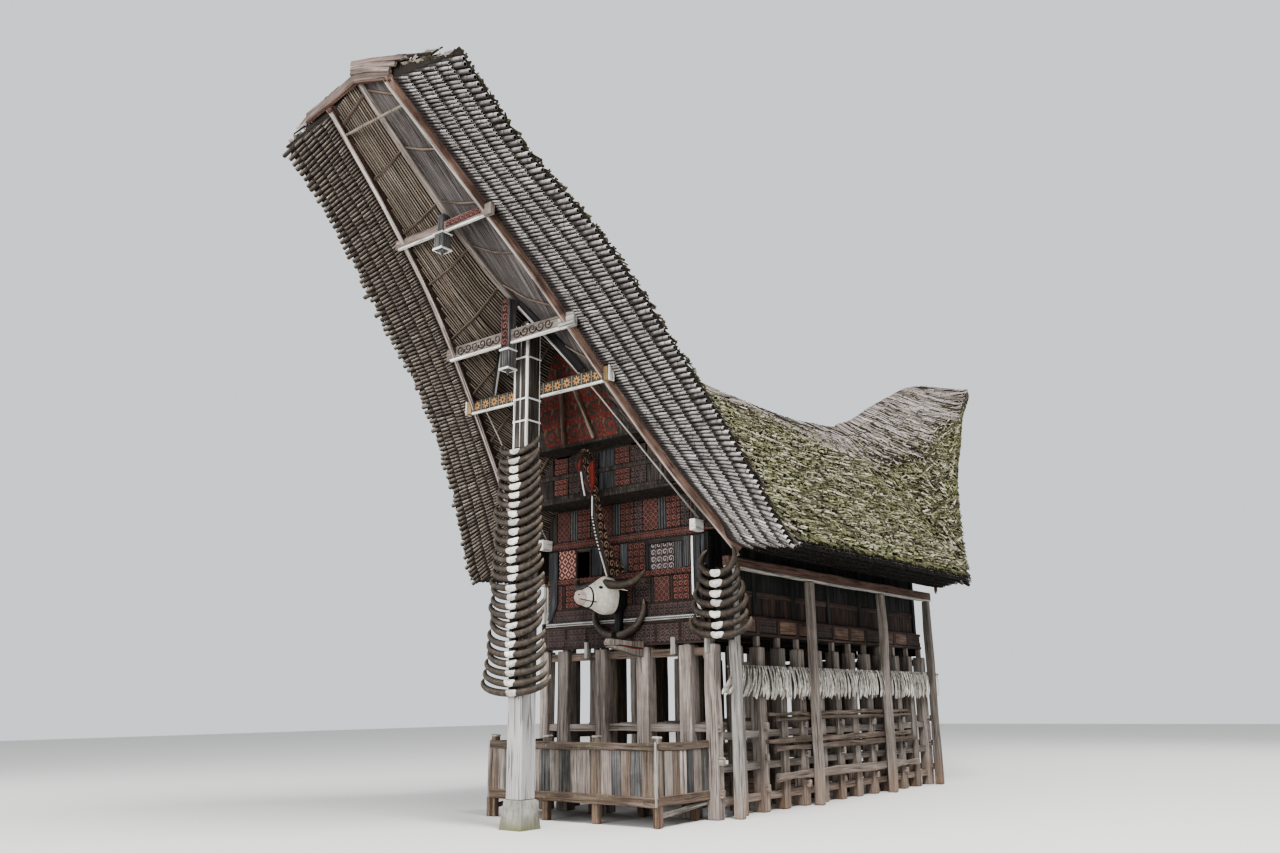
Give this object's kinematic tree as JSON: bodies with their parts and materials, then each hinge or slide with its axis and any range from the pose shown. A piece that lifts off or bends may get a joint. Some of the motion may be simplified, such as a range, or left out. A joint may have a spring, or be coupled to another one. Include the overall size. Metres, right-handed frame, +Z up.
{
  "type": "tongkonan house",
  "caption": "Timber house on piles: a boarded room with a carved gable under a saddle roof of bamboo whose ends rise into long prows, with a horn-hung post and a low deck in front.",
  "frame": {"origin": "on the ground under the middle of the house, midway between the two roof tips", "axes": "+Z up, +Y from the front to the back along the ridge, so the carved front faces -Y; +X to the right of it"},
  "size_m": [6.86, 20.25, 10.595],
  "materials": {
    "grey_timber": "weathered grey hardwood, rough sawn",
    "brown_timber": "brown weathered timber",
    "dark_timber": "dark stained timber",
    "carved_timber": "carved and painted timber, faded",
    "red_timber": "painted timber, matt and faded",
    "lining_board": "grey-brown boards",
    "bamboo_tile": "weathered split bamboo",
    "mossy_thatch": "weathered bamboo grown over with moss",
    "concrete": "rough concrete",
    "horn": "weathered horn, satin",
    "bone": "chalky white bone or whitewash"
  },
  "bodies": {
    "root": {"cross_frame_1": "grey_timber", "cross_frame_2": "grey_timber", "cross_frame_3": "grey_timber", "cross_frame_4": "grey_timber", "cross_frame_5": "grey_timber", "cross_frame_6": "grey_timber", "cross_frame_7": "grey_timber", "right_pile_row": "grey_timber", "right_sill_board": "carved_timber", "right_wall": "dark_timber", "right_pilaster": "bone", "right_eave_frame": "grey_timber", "right_front_roof": "bamboo_tile", "right_rear_roof": "bamboo_tile", "right_roof_slope": "mossy_thatch", "left_pile_row": "grey_timber", "left_sill_board": "carved_timber", "left_wall": "dark_timber", "left_pilaster": "bone", "left_eave_frame": "grey_timber", "left_front_roof": "bamboo_tile", "left_rear_roof": "bamboo_tile", "left_roof_slope": "mossy_thatch", "right_rail_lower": "grey_timber", "right_rail_middle": "grey_timber", "right_rail_upper": "grey_timber", "floor_frame": "dark_timber", "floor": "brown_timber", "front_ledge": "grey_timber", "beam_beak": "brown_timber", "front_wall": "carved_timber", "front_shutter": "carved_timber", "rear_wall": "dark_timber", "front_lining": "lining_board", "rear_lining": "lining_board", "front_edge_boards": "brown_timber", "rear_edge_boards": "brown_timber", "ridge_cap": "grey_timber", "front_gable_lower": "carved_timber", "front_gable_upper": "red_timber", "rear_gable_lower": "dark_timber", "rear_gable_upper": "dark_timber", "lower_prow_beam": "carved_timber", "middle_prow_beam": "carved_timber", "upper_prow_beam": "brown_timber", "tip_pole": "bamboo_tile", "front_post_base": "concrete", "front_post": "grey_timber", "front_post_horns": "horn", "right_post_horns": "horn", "buffalo_head": "bone", "neck_board": "carved_timber", "deck_parapet": "brown_timber", "deck_floor": "brown_timber", "jawbone_rack": "bone"}
  },
  "joints": []
}
